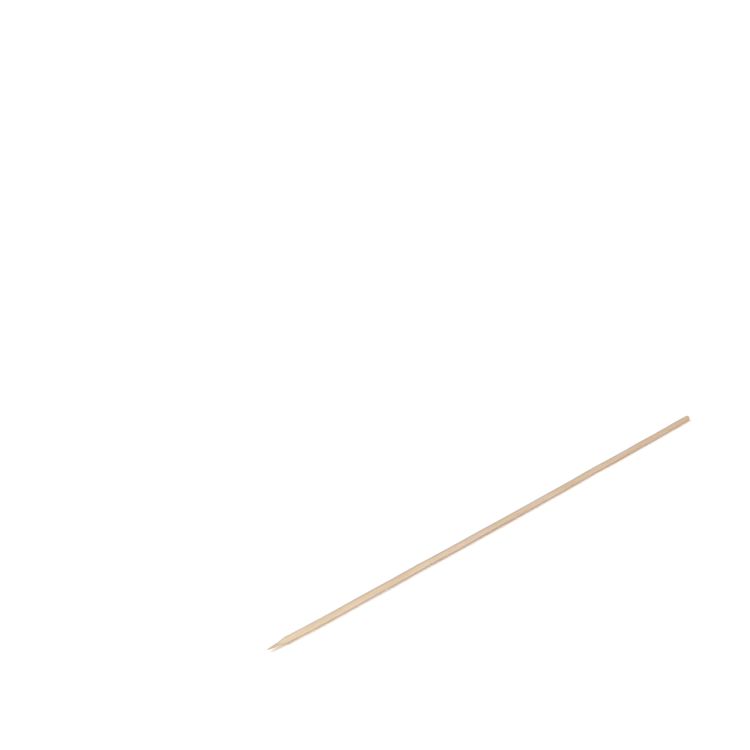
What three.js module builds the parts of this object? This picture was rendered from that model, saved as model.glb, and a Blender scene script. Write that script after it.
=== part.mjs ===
// A round bamboo skewer, as sold for kebabs and finger food. Millimetres, +Z up.
//
// It lies on its side along X, with its point at -X and its sawn butt at +X. Its lowest line is at z = 0,
// and the origin is under the middle of its bounding box. The rod is split and drawn from one strip of
// bamboo, so it is one solid: its skin is ridged lengthwise by the fibre bundles, one end is ground to a
// slender point, the other is sawn square, and the whole rod is bowed a little sideways.

import * as THREE from "three";

// Rod
const LENGTH = 300;
const DIAMETER = 3.0;
const OVALITY = 0.06; // how much wider the section is than it is high
const BOW = 0.9; // how far the middle stands off the straight line between the two ends

// Fibre bundles, seen as shallow ridges of uneven width round the rod
const COARSE_RIDGES = 9;
const FINE_RIDGES = 16;
const COARSE_GROOVE_DEPTH = 0.03;
const FINE_GROOVE_DEPTH = 0.04;

// Ground point
const POINT_LENGTH = 10.4;
const TIP_DIAMETER = 0.5;
const TIP_ROUNDING = 0.3; // length of the blunt rounded tip
const NEEDLE_LENGTH = 4.6; // the slender front of the point, ahead of its shoulder
const NEEDLE_DIAMETER = 1.4; // where the needle meets the shoulder
const NEEDLE_SLOPE = 0.022; // how fast the radius still grows there

// Sawn butt
const BUTT_EDGE_BREAK = 0.14; // the saw cut's edge, worn off by tumbling

// Fineness of the surface
const SIDES = 64;
const TIP_STEPS = 4;
const NEEDLE_STEPS = 7;
const SHOULDER_STEPS = 12;
const SHAFT_STEPS = 24;

const BAMBOO = new THREE.MeshStandardMaterial({
  color: new THREE.Color().setRGB(0.87, 0.78, 0.67, THREE.SRGBColorSpace),
  roughness: 0.62,
  metalness: 0,
});

const radius = DIAMETER / 2;

// The outline of half the rod, as (distance from the axis, distance behind the tip).
function rodOutline() {
  const tip = new THREE.Path();
  tip.absellipse(0, TIP_ROUNDING, TIP_DIAMETER / 2, TIP_ROUNDING, -Math.PI / 2, 0, false);

  const needleRadius = NEEDLE_DIAMETER / 2;
  const needleReach = (NEEDLE_LENGTH - TIP_ROUNDING) / 2;
  const needle = new THREE.QuadraticBezierCurve(
    new THREE.Vector2(TIP_DIAMETER / 2, TIP_ROUNDING),
    new THREE.Vector2(needleRadius - NEEDLE_SLOPE * needleReach, NEEDLE_LENGTH - needleReach),
    new THREE.Vector2(needleRadius, NEEDLE_LENGTH),
  );

  const shoulderReach = (POINT_LENGTH - NEEDLE_LENGTH) / 3;
  const shoulder = new THREE.CubicBezierCurve(
    new THREE.Vector2(needleRadius, NEEDLE_LENGTH),
    new THREE.Vector2(needleRadius + NEEDLE_SLOPE * shoulderReach, NEEDLE_LENGTH + shoulderReach),
    new THREE.Vector2(radius, POINT_LENGTH - shoulderReach),
    new THREE.Vector2(radius, POINT_LENGTH),
  );

  const shaft = new THREE.LineCurve(
    new THREE.Vector2(radius, POINT_LENGTH),
    new THREE.Vector2(radius, LENGTH - BUTT_EDGE_BREAK),
  );

  return [
    ...tip.getPoints(TIP_STEPS),
    ...needle.getPoints(NEEDLE_STEPS).slice(1),
    ...shoulder.getPoints(SHOULDER_STEPS).slice(1),
    ...shaft.getPoints(SHAFT_STEPS).slice(1),
    new THREE.Vector2(radius - BUTT_EDGE_BREAK, LENGTH),
    new THREE.Vector2(0, LENGTH),
  ];
}

// How deep the skin lies under the full radius, at an angle from the underside. The rod has rolled until
// it stands on the tops of the two ridges on either side of its lowest groove.
function grooveDepth(angle) {
  const coarse = (1 - Math.cos(COARSE_RIDGES * angle)) / 2;
  const fine = (1 + Math.cos(FINE_RIDGES * angle)) / 2;
  return COARSE_GROOVE_DEPTH * coarse + FINE_GROOVE_DEPTH * fine;
}

// The rod's radius at an angle from the underside, before its end is ground. It lies on its flatter side.
function skinRadius(angle) {
  const flattening = (OVALITY / 4) * (1 + Math.cos(2 * angle));
  return radius - flattening - grooveDepth(angle);
}

// Grinding cuts into the ridged skin, so each ridge runs out on the point in a long scallop of its own.
function cutSkin(position) {
  const p = new THREE.Vector3();
  for (let i = 0; i < position.count; i++) {
    p.fromBufferAttribute(position, i);
    const turned = Math.hypot(p.x, p.z);
    if (turned === 0) continue;
    const fromUnderside = Math.atan2(p.x, -p.z);
    const kept = Math.min(turned, skinRadius(fromUnderside)) / turned;
    position.setXYZ(i, p.x * kept, p.y, p.z * kept);
  }
}

// Bows the rod, which lies along X from 0, sideways: its middle stays and its two ends go towards +Y.
function bow(position) {
  for (let i = 0; i < position.count; i++) {
    const fromMiddle = (2 * position.getX(i)) / LENGTH - 1;
    position.setY(i, position.getY(i) + BOW * fromMiddle * fromMiddle);
  }
}

// Stands the lowest line on z = 0 and brings the middle of the bounding box over the origin.
function centreOnFloor(geometry) {
  geometry.computeBoundingBox();
  const box = geometry.boundingBox;
  const middle = box.getCenter(new THREE.Vector3());
  geometry.translate(-middle.x, -middle.y, -box.min.z);
}

function skewer() {
  const geometry = new THREE.LatheGeometry(rodOutline(), SIDES);
  cutSkin(geometry.attributes.position);
  geometry.rotateZ(-Math.PI / 2);
  bow(geometry.attributes.position);
  centreOnFloor(geometry);
  geometry.computeVertexNormals();
  const mesh = new THREE.Mesh(geometry, BAMBOO);
  mesh.name = "skewer";
  return mesh;
}

const part = new THREE.Group();
part.add(skewer());

export default part;
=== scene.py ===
"""A bamboo skewer lying on a white studio floor: its fibrous skin, ground point, sawn butt and material.

The rod is worked out in millimetres along a straight axis, as (distance behind the tip, sideways, up), and
is bowed, set on the floor and turned into metres at the very end. Angles round it start at its underside.
"""

import math

import bpy
import numpy as np
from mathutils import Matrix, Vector


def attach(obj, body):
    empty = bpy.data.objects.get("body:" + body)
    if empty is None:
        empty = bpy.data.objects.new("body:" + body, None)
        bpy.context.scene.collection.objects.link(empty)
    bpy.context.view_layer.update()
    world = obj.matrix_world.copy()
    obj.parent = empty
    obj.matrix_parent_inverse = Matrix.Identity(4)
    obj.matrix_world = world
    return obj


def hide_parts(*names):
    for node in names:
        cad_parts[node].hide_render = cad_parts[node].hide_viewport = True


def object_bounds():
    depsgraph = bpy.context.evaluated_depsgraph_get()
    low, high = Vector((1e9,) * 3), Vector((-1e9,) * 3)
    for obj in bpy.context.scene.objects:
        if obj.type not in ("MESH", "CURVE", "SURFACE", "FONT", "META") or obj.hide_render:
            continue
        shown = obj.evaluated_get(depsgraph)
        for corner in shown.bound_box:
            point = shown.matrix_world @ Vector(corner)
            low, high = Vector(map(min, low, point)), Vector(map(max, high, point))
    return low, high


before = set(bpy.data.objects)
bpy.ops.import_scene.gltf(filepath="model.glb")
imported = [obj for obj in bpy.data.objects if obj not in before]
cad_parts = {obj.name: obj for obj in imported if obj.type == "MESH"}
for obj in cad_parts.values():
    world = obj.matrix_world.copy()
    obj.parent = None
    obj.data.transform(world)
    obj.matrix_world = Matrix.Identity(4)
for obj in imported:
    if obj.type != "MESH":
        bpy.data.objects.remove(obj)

MM = 0.001
cad_low, cad_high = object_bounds()

# The rod's own sizes, in millimetres
LENGTH = (cad_high.x - cad_low.x) / MM
RADIUS = 1.5
OVALITY = 0.06  # how much wider the section is than it is high
BOW = 0.9
TIP_RADIUS = 0.25
TIP_ROUNDING = 0.3
NEEDLE_LENGTH = 4.6
NEEDLE_RADIUS = 0.7
NEEDLE_SLOPE = 0.022  # how fast the radius still grows at the needle's thick end
POINT_LENGTH = 10.4
SANDED_LENGTH = 22.0  # up to here, behind the tip, the grinding has worn the rod a little thinner
SANDED_DEPTH = 0.09
BUTT_EDGE_BREAK = 0.14

# Small faults of its shape

# Crooks: how far it strays sideways, and where and over what reach, as shares of the length
CROOKS = ((-0.28, 0.12, 0.07), (0.26, 0.70, 0.08))
KINK = 0.09  # the size of the small bends between them
KINKS_ALONG = 7.3
KINK_PHASE = 1.0
# Uneven thickness: length of its waves, depth, how many sides of the rod it is on, and how it is turned
UNEVENNESS = ((120.0, 0.022, 1, -1.0), (60.0, 0.012, 2, 0.7))
# Faint flats on the point: how many, depth as a share of the radius, and turn in each millimetre
GRINDING_FLATS = ((3, 0.018, 0.10), (5, 0.012, -0.25))
CUT_BLEND = (-0.03, 0.05)  # how deep the grinding cuts where its finish starts and where it is full
CUT_GROOVE_DEPTH = 0.012
SMOOTH_TIP_LENGTH = 3.0  # behind the tip, the grooves of the cut are full from here on

# Each slow wave is the sum of a few: the least and most that its length and its size are multiplied by
WAVES = 3
WAVE_LENGTHS = (0.6, 1.7)
WAVE_SIZES = (0.4, 1.0)

# The sawn face
EDGE_CRUMBLING = (0.7, 0.5)  # share of the edge break on a bundle, and what is added to it off the bundles
FACE_PITH_DEPTH = 0.03
FACE_RIM = 0.12  # share of the radius over which the face's relief fades out towards its rim
FACE_MIDDLE_DEPTH = 0.02
SAW_MARK_DEPTH = 0.006
SAW_MARK_SPACING = 0.21
SAW_DIRECTION = (0.8, 0.6)

# The grain: fibre bundles run along the rod and stand a little proud of the softer pith between them
OUTER_SIDE = math.radians(150)  # the angle at which the hard outside of the bamboo wall was; the skin is also painted darker towards it and towards the opposite side, as painted shade on the rod's upper, far side and lower, near side
OUTER_SPACING = 0.25  # between bundles there
INNER_SPACING = 0.42  # between bundles on the far side
GRAIN_REACH = 1.05 * RADIUS
GRAIN_TRIES = 5000
BUNDLE_FATNESS = 0.42  # a bundle's radius, as a share of the spacing
BUNDLE_SIZES = (0.75, 1.2)  # the least and the most that this is multiplied by
BUNDLE_EDGE = 1.5  # how sharply it ends
BUNDLE_WANDER = 0.09
WANDER_LENGTH = 90.0
GROOVE_DEPTH = 0.05
COARSE_RIDGES = 9
COARSE_GROOVE_DEPTH = 0.03
SKIN_INSET = 0.02  # the drawn skin lies this far inside the nominal radius

# Splinters: how many, then least and most for the root's place, the length, the lift and the width
POINT_SPLINTERS = (16, (POINT_LENGTH - 3.0, POINT_LENGTH + 3.0), (0.7, 2.4), (0.02, 0.07), (0.05, 0.10))
SHAFT_HAIRS = (12, (30.0, LENGTH - 15.0), (3.0, 9.0), (0.01, 0.05), (0.04, 0.08))
DIAGONAL_REACH = (25, 65)  # degrees from the underside, or from each quarter turn after it
SPLINTER_STEPS = 7
SPLINTER_LEAN = 0.15
SPLINTERED_RADIUS = RADIUS - 0.05
SPLINTER_ROOT_DEPTH = 0.05
SPLINTER_END = 0.004  # half the width of its free end
SPLINTER_FLATNESS = 0.6

# Fineness of the curves and the mesh
CURVE_POINTS = 200
TIP_CURVE_POINTS = 40
SIDES = 168
TIP_RINGS = 8
POINT_RINGS = 130
SHAFT_RINGS = 250
BUTT_RINGS = 16
POINT_FINE_LENGTH = POINT_LENGTH + 3.0
BUTT_FINE_LENGTH = 1.6
FACE_RINGS = 24
SHARP_ANGLE = math.radians(50)

SEED = 11


def smooth(low, high, value):
    """0 below low, 1 above high, and a soft step between them."""
    t = np.clip((value - low) / (high - low), 0.0, 1.0)
    return t * t * (3.0 - 2.0 * t)


def bezier(*ends_and_handles):
    """Points along a Bezier curve, without its first. Each corner is (distance behind the tip, radius)."""
    t = np.linspace(0.0, 1.0, CURVE_POINTS)[1:, None]
    points = [np.array(corner) + 0 * t for corner in ends_and_handles]
    while len(points) > 1:
        points = [(1 - t) * a + t * b for a, b in zip(points, points[1:])]
    return points[0]


def point_outline():
    """The blunt tip, the needle and its shoulder, as arrays of distance behind the tip and radius."""
    turn = np.linspace(0.0, math.pi / 2, TIP_CURVE_POINTS)
    tip = np.stack([TIP_ROUNDING * (1.0 - np.cos(turn)), TIP_RADIUS * np.sin(turn)], axis=1)

    reach = (NEEDLE_LENGTH - TIP_ROUNDING) / 2
    handle = (NEEDLE_LENGTH - reach, NEEDLE_RADIUS - NEEDLE_SLOPE * reach)
    needle_end = (NEEDLE_LENGTH, NEEDLE_RADIUS)
    needle = bezier((TIP_ROUNDING, TIP_RADIUS), handle, needle_end)

    reach = (POINT_LENGTH - NEEDLE_LENGTH) / 3
    handle = (NEEDLE_LENGTH + reach, NEEDLE_RADIUS + NEEDLE_SLOPE * reach)
    shoulder = bezier(needle_end, handle, (POINT_LENGTH - reach, RADIUS), (POINT_LENGTH, RADIUS))

    outline = np.concatenate([tip, needle, shoulder])
    return outline[:, 0], outline[:, 1]


def slow_wave(rng, length, amplitude):
    """A function of the distance along the rod: a few long sine waves with chance phases."""
    periods = length * rng.uniform(*WAVE_LENGTHS, WAVES)
    phases = rng.uniform(0.0, 2 * math.pi, WAVES)
    sizes = amplitude * rng.uniform(*WAVE_SIZES, WAVES) / math.sqrt(WAVES)

    def wave(along):
        return sum(a * np.sin(2 * math.pi * along / p + q) for a, p, q in zip(sizes, periods, phases))

    return wave


class Grain:
    """The fibre bundles that run through the rod, denser towards the outside of the bamboo wall."""

    def __init__(self, rng):
        outward = np.array([math.sin(OUTER_SIDE), -math.cos(OUTER_SIDE)])
        self.bundles = []
        for _ in range(GRAIN_TRIES):
            place = rng.uniform(-GRAIN_REACH, GRAIN_REACH, 2)
            share = 0.5 + 0.5 * float(place @ outward) / RADIUS
            spacing = INNER_SPACING + (OUTER_SPACING - INNER_SPACING) * share
            if np.hypot(*place) > RADIUS + 0.5 * spacing:
                continue
            if any(np.hypot(*(place - b["place"])) < 0.5 * (spacing + b["spacing"]) for b in self.bundles):
                continue
            self.bundles.append({"place": place, "spacing": spacing})
        for b in self.bundles:
            b["side"] = slow_wave(rng, WANDER_LENGTH, BUNDLE_WANDER)
            b["up"] = slow_wave(rng, WANDER_LENGTH, BUNDLE_WANDER)
            b["radius"] = BUNDLE_FATNESS * b["spacing"] * rng.uniform(*BUNDLE_SIZES)
            b["tone"] = rng.uniform(0.0, 1.0)

    def at(self, along, side, up):
        """How much each place lies inside a bundle, from 0 to 1, and the tone of the nearest bundle."""
        inside = np.zeros(np.broadcast(along, side, up).shape)
        tone = np.full(inside.shape, 0.5)
        for b in self.bundles:
            ds = side - b["place"][0] - b["side"](along)
            du = up - b["place"][1] - b["up"](along)
            here = np.exp(-((ds * ds + du * du) / b["radius"] ** 2) ** BUNDLE_EDGE)
            nearer = here > inside
            inside = np.where(nearer, here, inside)
            tone = np.where(nearer, b["tone"], tone)
        return inside, tone


def skin_radius(grain, along, angle, waves):
    """The drawn rod's radius, before its ends are worked."""
    flattening = (OVALITY / 4) * (1 + np.cos(2 * angle))
    coarse = COARSE_GROOVE_DEPTH * (1 - np.cos(COARSE_RIDGES * angle)) / 2
    nominal = RADIUS - SKIN_INSET - flattening - coarse
    inside, _ = grain.at(along, nominal * np.sin(angle), -nominal * np.cos(angle))
    thinner = 0.0
    for wave, (_, _, sides, turned) in zip(waves, UNEVENNESS):
        thinner = thinner + wave(along) * (1 + np.cos(sides * angle + turned))
    sanded = SANDED_DEPTH * (1 - smooth(POINT_LENGTH, SANDED_LENGTH, along))
    return nominal - GROOVE_DEPTH * (1 - inside) - np.abs(thinner) - sanded


def ground_radius(along, angle):
    """The grinding wheel's cut at the point: nearly round, with a few faint flats."""
    outline_along, outline_radius = point_outline()
    flats = 1.0
    for count, depth, turn in GRINDING_FLATS:
        flats = flats - depth * (1 - np.cos(count * angle + turn * along)) / 2
    cut = np.interp(along, outline_along, outline_radius) * flats
    return np.where(along < POINT_LENGTH, cut, 2 * RADIUS)


def ring_places():
    """Distances behind the tip of the rings of the mesh, close together at both ends."""
    tip = TIP_ROUNDING * (1 - np.cos(np.linspace(0, math.pi / 2, TIP_RINGS + 1)[1:]))
    point = np.linspace(TIP_ROUNDING, POINT_FINE_LENGTH, POINT_RINGS + 1)[1:]
    shaft = np.linspace(POINT_FINE_LENGTH, LENGTH - BUTT_FINE_LENGTH, SHAFT_RINGS + 1)[1:]
    butt = LENGTH - BUTT_FINE_LENGTH * (1 - np.linspace(0, 1, BUTT_RINGS + 1)[1:]) ** 1.5
    return np.concatenate([tip, point, shaft, butt])


def rod_surface(grain, rng):
    """The rod as arrays of along, side and up, one row for each ring of points, and how ground each is."""
    angle = np.linspace(0, 2 * math.pi, SIDES, endpoint=False)[None, :]
    along = ring_places()[:, None] + 0 * angle
    angle = angle + 0 * along
    waves = [slow_wave(rng, length, depth) for length, depth, _, _ in UNEVENNESS]
    skin = skin_radius(grain, along, angle, waves)
    ground = ground_radius(along, angle)
    radius = np.minimum(skin, ground)
    inside, _ = grain.at(along, radius * np.sin(angle), -radius * np.cos(angle))
    is_ground = smooth(*CUT_BLEND, skin - ground)
    radius = radius - CUT_GROOVE_DEPTH * is_ground * (1 - inside) * smooth(0.0, SMOOTH_TIP_LENGTH, along)

    # The saw's edge is broken unevenly: it crumbles more between the bundles.
    least, more = EDGE_CRUMBLING
    chipped = BUTT_EDGE_BREAK * (least + more * (1 - inside))
    from_butt = LENGTH - along
    corner = np.clip(1 - from_butt / chipped, 0.0, 1.0)
    radius = radius - chipped * (1 - np.sqrt(1 - corner**2))
    return along, radius * np.sin(angle), -radius * np.cos(angle), is_ground


def butt_face(grain, rim_side, rim_up):
    """Rings of points across the sawn face, from its rim inwards, with the bundles proud of the pith."""
    shares = np.linspace(1, 0, FACE_RINGS + 1)[1:-1][:, None]
    side, up = shares * rim_side[None, :], shares * rim_up[None, :]
    inside, _ = grain.at(LENGTH, side, up)
    across_marks = (side * SAW_DIRECTION[0] + up * SAW_DIRECTION[1]) / SAW_MARK_SPACING
    saw_marks = SAW_MARK_DEPTH * (1 + np.sin(2 * math.pi * across_marks))
    away_from_rim = smooth(0.0, FACE_RIM, 1 - shares)
    along = LENGTH - away_from_rim * (FACE_PITH_DEPTH * (1 - inside) + saw_marks)
    return along, side, up


def crooked(along):
    """How far the rod strays from an even bow, with nothing from the kinks at its ends and its middle."""
    share = along / LENGTH
    bends = sum(size * np.exp(-(((share - place) / reach) ** 2)) for size, place, reach in CROOKS)
    room = 10 * share * (1 - share) * np.abs(2 * share - 1)
    return bends + KINK * room * np.sin(2 * math.pi * KINKS_ALONG * share + KINK_PHASE)


def bowed(points):
    """Bends the straight rod sideways, centres it over the origin and rests it on the floor, in metres."""
    along, side, up = points.T
    from_middle = 2 * along / LENGTH - 1
    across = side + BOW * (from_middle**2 - 0.5) + crooked(along)
    placed = np.stack([along - LENGTH / 2, across, up - up.min()], axis=1)
    return placed * MM


def ring_faces(first, count, rings):
    """Quads between neighbouring rings of points that start at index first."""
    faces = []
    for r in range(rings - 1):
        a, b = first + r * count, first + (r + 1) * count
        faces += [(a + k, a + (k + 1) % count, b + (k + 1) % count, b + k) for k in range(count)]
    return faces


def rod_mesh(grain, rng):
    """Points, faces and finishes of the whole rod as one closed surface."""
    along, side, up, is_ground = rod_surface(grain, rng)
    face_along, face_side, face_up = butt_face(grain, side[-1], up[-1])
    rings = len(along) + len(face_along)

    pairs = ((along, face_along), (side, face_side), (up, face_up))
    body = np.stack([np.concatenate(pair).ravel() for pair in pairs], axis=1)
    tip_point = np.array([[0.0, 0.0, 0.0]])
    butt_point = np.array([[LENGTH - FACE_MIDDLE_DEPTH, 0.0, 0.0]])
    points = np.concatenate([tip_point, body, butt_point])

    rod_zeros, face_zeros = np.zeros(along.size), np.zeros(face_along.size)
    finish = {
        "ground": np.concatenate([[1.0], is_ground.ravel(), face_zeros, [0.0]]),
        "sawn": np.concatenate([[0.0], rod_zeros, face_zeros + 1.0, [1.0]]),
    }

    last = len(points) - 1
    faces = ring_faces(1, SIDES, rings)
    faces += [(0, 1 + (k + 1) % SIDES, 1 + k) for k in range(SIDES)]
    start = 1 + (rings - 1) * SIDES
    faces += [(last, start + k, start + (k + 1) % SIDES) for k in range(SIDES)]
    return points, faces, finish


def splinter(rng, along, angle, length, lift, width):
    """A sliver of fibre off the skin: rooted at one end, thin and free at the end nearer the tip."""
    outline_along, outline_radius = point_outline()
    lean = rng.uniform(-SPLINTER_LEAN, SPLINTER_LEAN)
    points = []
    for t in np.linspace(0, 1, SPLINTER_STEPS):
        turned = angle + lean * t * t
        outward = np.array([0.0, math.sin(turned), -math.cos(turned)])
        across = np.array([0.0, math.cos(turned), math.sin(turned)])
        place = along - t * length
        surface = min(SPLINTERED_RADIUS, float(np.interp(place, outline_along, outline_radius)))
        height = surface - SPLINTER_ROOT_DEPTH + (lift + SPLINTER_ROOT_DEPTH) * t**1.5
        centre = np.array([place, 0, 0]) + outward * height
        half = 0.5 * width * (1 - t) ** 0.6 + SPLINTER_END
        thick = half * SPLINTER_FLATNESS
        points += [centre + across * half, centre + outward * thick]
        points += [centre - across * half, centre - outward * thick]
    last = 4 * (SPLINTER_STEPS - 1)
    faces = ring_faces(0, 4, SPLINTER_STEPS)
    faces += [(3, 2, 1, 0), tuple(last + k for k in range(4))]
    return np.array(points), faces


def splinters(rng):
    """Torn fibres at the ground point and hairs along the shaft, all on the rod's four diagonals."""
    def diagonal():
        return math.radians(90 * rng.integers(4) + rng.uniform(*DIAGONAL_REACH))

    found = []
    for count, places, lengths, lifts, widths in (POINT_SPLINTERS, SHAFT_HAIRS):
        for _ in range(count):
            along = rng.uniform(*places)
            length, lift, width = rng.uniform(*lengths), rng.uniform(*lifts), rng.uniform(*widths)
            found.append(splinter(rng, along, diagonal(), length, lift, width))
    return found


def skewer_object():
    """The skewer's one mesh, with the straight place of each point kept for the material."""
    rng = np.random.default_rng(SEED)
    grain = Grain(rng)
    points, faces, finish = rod_mesh(grain, rng)
    for more, more_faces in splinters(rng):
        faces = faces + [tuple(len(points) + i for i in f) for f in more_faces]
        points = np.concatenate([points, more])
        finish = {name: np.concatenate([values, np.zeros(len(more))]) for name, values in finish.items()}
    inside, tone = grain.at(points[:, 0], points[:, 1], points[:, 2])
    finish.update(bundle=inside, tone=tone)

    mesh = bpy.data.meshes.new("bamboo_rod")
    mesh.from_pydata(bowed(points).tolist(), [], faces)
    straight = mesh.attributes.new("straight", "FLOAT_VECTOR", "POINT")
    straight.data.foreach_set("vector", points.astype(np.float32).ravel())
    for name, values in finish.items():
        kept = mesh.attributes.new(name, "FLOAT", "POINT")
        kept.data.foreach_set("value", values.astype(np.float32))
    mesh.polygons.foreach_set("use_smooth", [True] * len(mesh.polygons))
    mesh.set_sharp_from_angle(angle=SHARP_ANGLE)
    mesh.validate()
    piece = bpy.data.objects.new("bamboo_rod", mesh)
    bpy.context.scene.collection.objects.link(piece)
    return piece


def colour(red, green, blue):
    """A colour written as a screen shows it, from 0 to 255, as the linear colour that a shader takes."""
    def linear(v):
        v = v / 255
        return v / 12.92 if v <= 0.04045 else ((v + 0.055) / 1.055) ** 2.4

    return (linear(red), linear(green), linear(blue), 1.0)


PITH = colour(241, 223, 200)  # the soft pale stuff between the bundles
YELLOW_PITH = colour(236, 214, 180)
PINK_PITH = colour(232, 207, 188)
OUTER_WALL_AND_PAINTED_SHADE = colour(186, 164, 135)  # towards the hard outside of the bamboo's wall, darkened further as painted shade on the rod's upper, far side
WALL_SKIN_AND_PAINTED_SHADE = colour(186, 158, 124)  # the tan that its outermost fibres keep, laid on the upper, far side partly as painted shade
INNER_WALL_AND_PAINTED_SHADE = colour(223, 203, 189)  # towards its hollow, darkened as painted shade on the rod's lower, near side
BUNDLE = colour(218, 188, 148)
DARK_BUNDLE = colour(196, 158, 114)
FRESH = colour(240, 222, 191)  # newly ground wood at the point
NEEDLE_PAINTED_SHADE = colour(192, 164, 132)  # painted shade darkening the needle
AGED = colour(200, 168, 132)  # towards the butt
CLEAN = colour(250, 230, 198)  # towards the point, where the rod has been handled least
TAN_PATCH = colour(210, 180, 147)
PINK_PATCH = colour(239, 217, 201)
END_GRAIN = colour(214, 184, 144)
VESSEL = colour(158, 120, 84)

# How many features each noise has in a millimetre: along the rod, across it and up
PATCHES = (0.022, 0.8, 0.8)
STREAKS = (0.03, 4.5, 4.5)
HAIRS = (0.25, 17.0, 17.0)
PORES = (0.55, 13.0, 13.0)
BLOTCHES = (0.045, 0.45, 0.45)
NOISE_ROUGHNESS = 0.55

# Where each colour starts and where it is at its strongest, in millimetres behind the tip
AGED_REACH = (60.0, LENGTH)
CLEAN_REACH = (105.0, 15.0)
# where the needle's painted shade starts and where it is strongest
NEEDLE_PAINTED_SHADE_REACH = (10.0, 3.5)

# The finish
PITH_ROUGHNESS = 0.72
BUNDLE_ROUGHNESS = 0.5
GROUND_ROUGHNESS = 0.1  # added where the point is ground
SHINE = 0.35
BUMP_STRENGTH = 0.5
BUMP_HEIGHT = 0.03 * MM


class Nodes:
    """Short names for making and joining a material's nodes."""

    def __init__(self, material):
        material.use_nodes = True
        self.tree = material.node_tree
        self.tree.nodes.clear()

    def new(self, kind, settings=None, **inputs):
        node = self.tree.nodes.new(kind)
        for name, value in (settings or {}).items():
            setattr(node, name, value)
        for name, value in inputs.items():
            self.put(node, name.replace("_", " "), value)
        return node

    def put(self, node, name, value):
        if isinstance(value, bpy.types.NodeSocket):
            self.tree.links.new(value, node.inputs[name])
        else:
            node.inputs[name].default_value = value

    def attribute(self, name, output="Fac"):
        return self.new("ShaderNodeAttribute", {"attribute_name": name}).outputs[output]

    def noise(self, place, stretch, detail=2.0):
        """Noise whose features are about 1 / stretch millimetres long, each way."""
        scaled = self.new("ShaderNodeVectorMath", {"operation": "MULTIPLY"})
        self.put(scaled, 0, place)
        self.put(scaled, 1, stretch)
        texture = self.new("ShaderNodeTexNoise", {"noise_dimensions": "3D"}, Scale=1.0, Detail=detail,
                           Roughness=NOISE_ROUGHNESS, Vector=scaled.outputs[0])
        return texture.outputs["Fac"]

    def ramp(self, value, low, high, to_low=0.0, to_high=1.0):
        """Carries value from the range low to high over to the range to_low to to_high."""
        node = self.new("ShaderNodeMapRange", {"clamp": True}, Value=value, From_Min=low, From_Max=high,
                        To_Min=to_low, To_Max=to_high)
        return node.outputs["Result"]

    def math(self, operation, a, b=0.0):
        node = self.new("ShaderNodeMath", {"operation": operation})
        self.put(node, 0, a)
        self.put(node, 1, b)
        return node.outputs[0]

    def mix(self, share, a, b):
        """Colour b laid over colour a with the given share."""
        node = self.new("ShaderNodeMix", {"data_type": "RGBA"})
        self.put(node, 0, share)
        self.put(node, 6, a)
        self.put(node, 7, b)
        return node.outputs[2]


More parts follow.
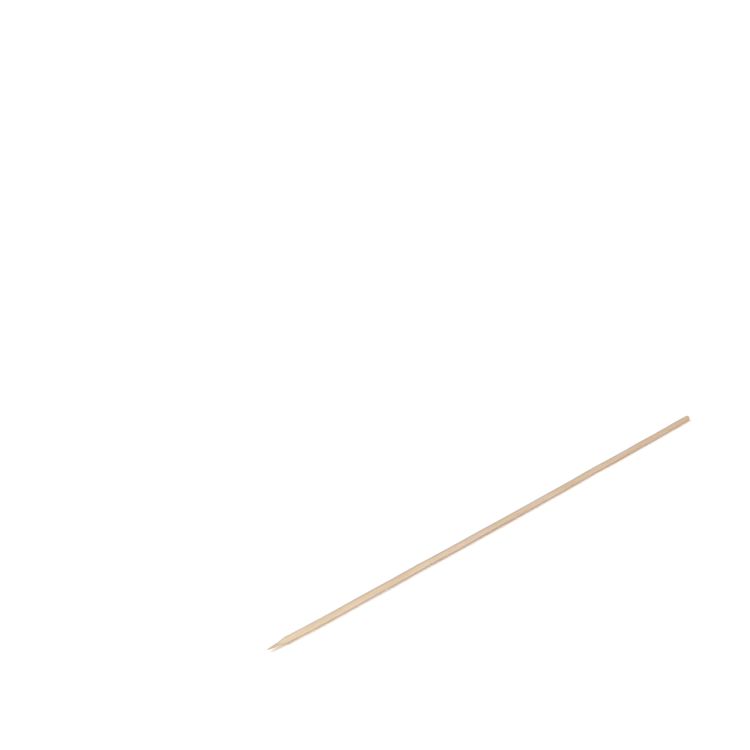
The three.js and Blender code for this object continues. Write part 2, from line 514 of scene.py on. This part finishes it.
def bamboo():
    """Raw bamboo: pale pith streaked by darker fibre bundles, with long soft patches of tan and pink.

    In each ramp the first two numbers are the values between which the share of the next colour changes,
    and the last two are that share at each of them, or 0 and 1.
    """
    material = bpy.data.materials.new("bamboo")
    n = Nodes(material)
    place = n.attribute("straight", "Vector")
    bundle, tone = n.attribute("bundle"), n.attribute("tone")
    ground, sawn = n.attribute("ground"), n.attribute("sawn")
    parts = n.new("ShaderNodeSeparateXYZ")
    n.put(parts, 0, place)
    along, side, up = parts.outputs
    outwards = n.math("MULTIPLY", side, math.sin(OUTER_SIDE) / RADIUS)
    outwards = n.math("ADD", outwards, n.math("MULTIPLY", up, -math.cos(OUTER_SIDE) / RADIUS))

    patches = n.noise(place, PATCHES)
    streaks = n.noise(place, STREAKS, 3.0)
    hairs = n.noise(place, HAIRS, 3.0)
    pores = n.noise(place, PORES, 1.0)
    blotches = n.noise(place, BLOTCHES, 1.0)
    # how far a place lies towards the outer side, with streaks: where the walls' tones and the painted
    # shade on the upper and lower sides go
    wall_tone_and_painted_shade = n.math("ADD", outwards, n.ramp(streaks, 0.3, 0.7, -0.25, 0.25))

    pith = n.mix(n.ramp(patches, 0.38, 0.6), PINK_PITH, YELLOW_PITH)
    pith = n.mix(n.ramp(streaks, 0.4, 0.7, 0.0, 0.6), pith, PITH)
    # the outer wall's tone, deepened into painted shade on the rod's upper, far side
    pith = n.mix(n.ramp(wall_tone_and_painted_shade, 0.3, 1.0, 0.0, 0.9), pith, OUTER_WALL_AND_PAINTED_SHADE)
    # the inner wall's tone, darkened into painted shade on the rod's lower, near side
    pith = n.mix(n.ramp(wall_tone_and_painted_shade, 0.2, -0.8, 0.0, 0.8), pith, INNER_WALL_AND_PAINTED_SHADE)
    fibre = n.mix(n.ramp(tone, 0.55, 1.0, 0.0, 0.6), BUNDLE, DARK_BUNDLE)
    shown = n.math("MULTIPLY", n.ramp(bundle, 0.25, 0.9, 0.0, 0.5), n.ramp(streaks, 0.3, 0.6, 0.45, 1.0))

    skin = n.mix(shown, pith, fibre)
    skin = n.mix(n.ramp(blotches, 0.5, 0.66, 0.0, 0.45), skin, TAN_PATCH)
    skin = n.mix(n.ramp(blotches, 0.5, 0.36, 0.0, 0.4), skin, PINK_PATCH)
    skin = n.mix(n.ramp(along, *AGED_REACH, 0.0, 0.58), skin, AGED)
    skin = n.mix(n.ramp(along, *CLEAN_REACH, 0.0, 0.5), skin, CLEAN)
    # the outer skin's tan, partly painted shade on the upper, far side
    skin = n.mix(n.ramp(wall_tone_and_painted_shade, 0.15, 0.9, 0.0, 0.42), skin, WALL_SKIN_AND_PAINTED_SHADE)
    skin = n.mix(n.ramp(hairs, 0.3, 0.75, 0.0, 0.16), skin, DARK_BUNDLE)
    skin = n.mix(n.ramp(pores, 0.68, 0.78, 0.0, 0.45), skin, VESSEL)
    skin = n.mix(n.math("MULTIPLY", ground, 0.25), skin, FRESH)
    # painted shade on the needle
    skin = n.mix(n.ramp(along, *NEEDLE_PAINTED_SHADE_REACH, 0.0, 0.6), skin, NEEDLE_PAINTED_SHADE)

    end = n.mix(n.ramp(bundle, 0.3, 0.8), END_GRAIN, DARK_BUNDLE)
    end = n.mix(n.ramp(bundle, 0.88, 0.97), end, VESSEL)
    surface = n.mix(sawn, skin, end)

    relief = n.math("ADD", n.math("MULTIPLY", hairs, 0.7), n.math("MULTIPLY", streaks, 0.6))
    bump = n.new("ShaderNodeBump", Strength=BUMP_STRENGTH, Distance=BUMP_HEIGHT, Height=relief)
    fibrous = n.math("ADD", bundle, n.math("MULTIPLY", hairs, 0.6))
    roughness = n.ramp(fibrous, 0.0, 1.5, PITH_ROUGHNESS, BUNDLE_ROUGHNESS)
    roughness = n.math("ADD", roughness, n.math("MULTIPLY", ground, GROUND_ROUGHNESS))
    shader = n.new("ShaderNodeBsdfPrincipled", Base_Color=surface, Roughness=roughness,
                   Specular_IOR_Level=SHINE, Normal=bump.outputs[0])
    n.new("ShaderNodeOutputMaterial", Surface=shader.outputs[0])
    return material


def shown_to_viewer(n):
    """1 for what the camera sees directly, mirrored or through glass, 0 for light on the object."""
    path = n.new("ShaderNodeLightPath")
    seen = n.math("MAXIMUM", path.outputs["Is Camera Ray"], path.outputs["Is Glossy Ray"])
    return n.math("MAXIMUM", seen, path.outputs["Is Transmission Ray"])


FLOOR_HALF_WIDTH = 8.0
FLOOR_WHITE = 0.8  # how much of the light it gives back to the skewer
FLOOR_SHOWN = 1.15  # and to the camera, so that it shows as plain white
SKY_LIGHT = 0.15  # how bright the surround is for the skewer; the camera sees it as plain white
# Each lamp's strength, how broad it looks from the skewer, and the direction from the skewer towards it
LAMPS = {
    "front_lamp": (1.75, math.radians(20), Vector((-0.45, -0.9, 0.27))),
    "top_lamp": (2.6, math.radians(55), Vector((-0.75, 0.42, 0.9))),
    "end_lamp": (0.85, math.radians(30), Vector((0.9, 0.15, 0.42))),
}


def floor():
    """A wide white floor that keeps the skewer's shadow."""
    half = FLOOR_HALF_WIDTH
    corners = [(-half, -half, 0), (half, -half, 0), (half, half, 0), (-half, half, 0)]
    mesh = bpy.data.meshes.new("floor")
    mesh.from_pydata(corners, [], [(0, 1, 2, 3)])
    plane = bpy.data.objects.new("floor", mesh)
    bpy.context.scene.collection.objects.link(plane)
    material = bpy.data.materials.new("white_floor")
    n = Nodes(material)
    white = n.ramp(shown_to_viewer(n), 0.0, 1.0, FLOOR_WHITE, FLOOR_SHOWN)
    matt = n.new("ShaderNodeBsdfDiffuse", Color=white)
    n.new("ShaderNodeOutputMaterial", Surface=matt.outputs[0])
    mesh.materials.append(material)
    return plane


def soft_lamp(name, strength, breadth, direction):
    """A broad lamp, far away."""
    lamp = bpy.data.lights.new(name, "SUN")
    lamp.angle = breadth
    lamp.energy = strength
    holder = bpy.data.objects.new(name, lamp)
    holder.location = direction
    holder.rotation_euler = (-direction).to_track_quat("-Z", "Y").to_euler()
    bpy.context.scene.collection.objects.link(holder)


def studio_light():
    """A dim white surround, a broad lamp above the skewer, a low one before it and one beyond its butt."""
    world = bpy.data.worlds.new("studio")
    bpy.context.scene.world = world
    n = Nodes(world)
    strength = n.ramp(shown_to_viewer(n), 0.0, 1.0, SKY_LIGHT, 1.0)
    back = n.new("ShaderNodeBackground", Color=(1.0, 1.0, 1.0, 1.0), Strength=strength)
    n.new("ShaderNodeOutputWorld", Surface=back.outputs[0])
    for name, (power, breadth, direction) in LAMPS.items():
        soft_lamp(name, power, breadth, direction)


# The camera, worked out from where the skewer's two ends and its widths lie in the photograph
CAMERA_PLACE = Vector((-0.3222, -0.25828, 0.26622))
CAMERA_AZIMUTH = math.radians(-41.59)
CAMERA_TILT = math.radians(25.095)
CAMERA_LENS = 47.258
SENSOR_WIDTH = 36.0
NEAREST_SEEN = 0.01


def camera():
    """The photograph's camera."""
    data = bpy.data.cameras.new("camera")
    data.lens = CAMERA_LENS
    data.sensor_width = SENSOR_WIDTH
    data.clip_start = NEAREST_SEEN
    holder = bpy.data.objects.new("camera", data)
    holder.location = CAMERA_PLACE
    holder.rotation_euler = (math.pi / 2 - CAMERA_TILT, 0.0, CAMERA_AZIMUTH)
    bpy.context.scene.collection.objects.link(holder)
    bpy.context.scene.camera = holder


camera()
studio_light()
floor()

rod = skewer_object()
rod.data.materials.append(bamboo())
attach(rod, "root")
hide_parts("skewer")

bpy.context.scene.view_settings.view_transform = "Standard"
